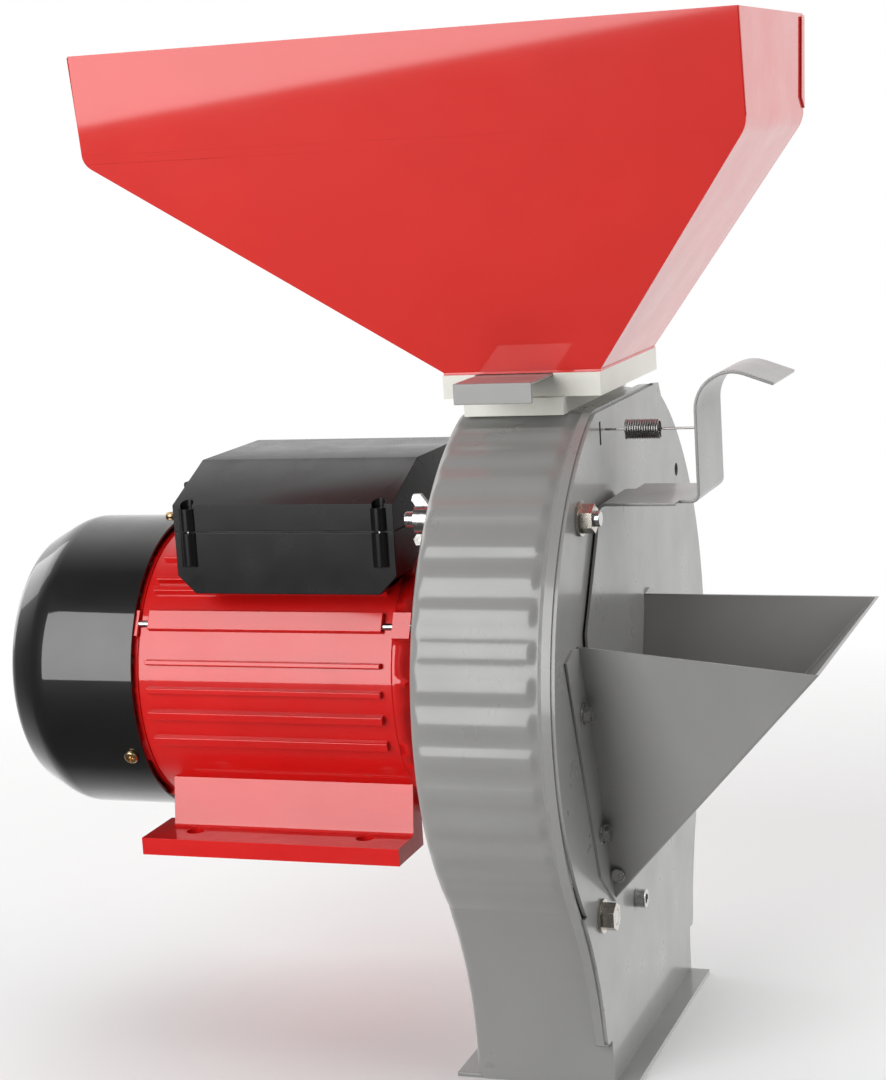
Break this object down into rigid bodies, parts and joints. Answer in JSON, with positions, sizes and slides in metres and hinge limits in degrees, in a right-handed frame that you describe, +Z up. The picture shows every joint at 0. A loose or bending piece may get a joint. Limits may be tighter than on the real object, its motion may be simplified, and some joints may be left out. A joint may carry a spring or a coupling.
{
  "type": "hammer mill",
  "caption": "Motor-driven hammer mill: drum housing with swinging hammers and screen, top hopper with slide gate, side hopper with sprung flap.",
  "frame": {"origin": "centre of the outlet mouth under the housing, in the plane of its flanges", "axes": "+X along the motor shaft from the fan towards the front cover and side hopper, +Z up, +Y across the shaft towards the side without the wing nut"},
  "size_m": [0.467, 0.316, 0.545],
  "materials": {
    "red_enamel": "glossy powder coat",
    "grey_enamel": "glossy enamel",
    "dark_grey_enamel": "glossy enamel",
    "red_cast_paint": "glossy paint over rough casting",
    "black_enamel": "glossy enamel",
    "black_plastic": "satin moulded",
    "red_plastic": "glossy moulded",
    "white_plastic": "satin moulded",
    "zinc_plate": "bright zinc plate",
    "yellow_zinc": "yellow zinc plate",
    "bare_steel": "machined",
    "lamination_steel": "stacked sheet edges",
    "enamelled_copper": "varnished wire",
    "seal_rubber": "matte",
    "capacitor_black": "matte",
    "capacitor_white": "matte",
    "terminal_cream": "matte"
  },
  "bodies": {
    "frame": {"housing": "grey_enamel", "front_cover": "grey_enamel", "cover_stud": "zinc_plate", "cover_nuts": "zinc_plate", "inlet_neck": "white_plastic", "neck_screws": "zinc_plate", "hopper_near_sheet": "red_enamel", "hopper_far_sheet": "red_enamel", "hopper_rear_sheet": "red_enamel", "hopper_front_sheet": "red_enamel", "hopper_bottom_rim": "red_enamel", "side_hopper": "dark_grey_enamel", "side_hopper_screws": "zinc_plate", "screen": "bare_steel", "screen_guides": "bare_steel", "guide_screw": "zinc_plate", "flap_pin": "zinc_plate", "flap_spring": "bare_steel", "motor_frame": "red_cast_paint", "front_end_bell": "red_cast_paint", "rear_end_bell": "red_cast_paint", "end_bell_screws": "bare_steel", "tie_rods": "zinc_plate", "stator_core": "lamination_steel", "stator_windings": "enamelled_copper", "front_bearing": "bare_steel", "rear_bearing": "bare_steel", "shaft_seal": "seal_rubber", "fan_cover": "black_enamel", "fan_cover_screws": "yellow_zinc", "terminal_box": "black_plastic", "terminal_lid": "black_plastic", "terminal_gasket": "seal_rubber", "terminal_screws": "zinc_plate", "start_capacitor": "capacitor_black", "run_capacitor": "capacitor_white", "terminal_block": "terminal_cream", "cable_gland": "black_plastic", "switch_body": "black_plastic"},
    "rotor": {"motor_shaft": "bare_steel", "rotor_core": "lamination_steel", "cooling_fan": "black_plastic", "shaft_key": "bare_steel", "rotor_hub": "bare_steel", "rear_disc": "bare_steel", "front_disc": "bare_steel", "hammer_pins": "zinc_plate", "hammer_spacers": "bare_steel", "hub_washer": "zinc_plate", "hub_nut": "zinc_plate"},
    "hammers_1": {"hammers_1": "bare_steel"},
    "hammers_2": {"hammers_2": "bare_steel"},
    "hammers_3": {"hammers_3": "bare_steel"},
    "hammers_4": {"hammers_4": "bare_steel"},
    "gate": {"gate_shutter": "dark_grey_enamel"},
    "flap": {"flap": "grey_enamel"},
    "wing_nut": {"wing_nut": "zinc_plate"},
    "rocker": {"switch_rocker": "red_plastic"}
  },
  "joints": [
    {"name": "rotor_spin", "type": "hinge", "parent": "frame", "child": "rotor", "pos_m": [0, 0, 0.205], "axis": [1, 0, 0], "continuous": true},
    {"name": "hammer_swing_1", "type": "hinge", "parent": "rotor", "child": "hammers_1", "pos_m": [0, -0.04525, 0.25026], "axis": [1, 0, 0], "range_deg": [-60, 60]},
    {"name": "hammer_swing_2", "type": "hinge", "parent": "rotor", "child": "hammers_2", "pos_m": [0, -0.04525, 0.15974], "axis": [1, 0, 0], "range_deg": [-60, 60]},
    {"name": "hammer_swing_3", "type": "hinge", "parent": "rotor", "child": "hammers_3", "pos_m": [0, 0.04525, 0.15974], "axis": [1, 0, 0], "range_deg": [-60, 60]},
    {"name": "hammer_swing_4", "type": "hinge", "parent": "rotor", "child": "hammers_4", "pos_m": [0, 0.04525, 0.25026], "axis": [1, 0, 0], "range_deg": [-60, 60]},
    {"name": "gate_slide", "type": "slide", "parent": "frame", "child": "gate", "axis": [0, -1, 0], "range_m": [0, 0.082]},
    {"name": "flap_swing", "type": "hinge", "parent": "frame", "child": "flap", "pos_m": [0.0445, -0.05, 0.114], "axis": [0, 1, 0], "range_deg": [0, 36], "stiffness_Nm_per_rad": 3, "springref_deg": -17.19, "deforming": ["flap_spring"]},
    {"name": "wing_nut_turn", "type": "hinge", "parent": "frame", "child": "wing_nut", "pos_m": [-0.042, -0.098, 0.303], "axis": [1, 0, 0], "continuous": true},
    {"name": "switch_rock", "type": "hinge", "parent": "frame", "child": "rocker", "pos_m": [-0.2, -0.02, 0.3], "axis": [0, 1, 0], "range_deg": [-9, 9]}
  ]
}
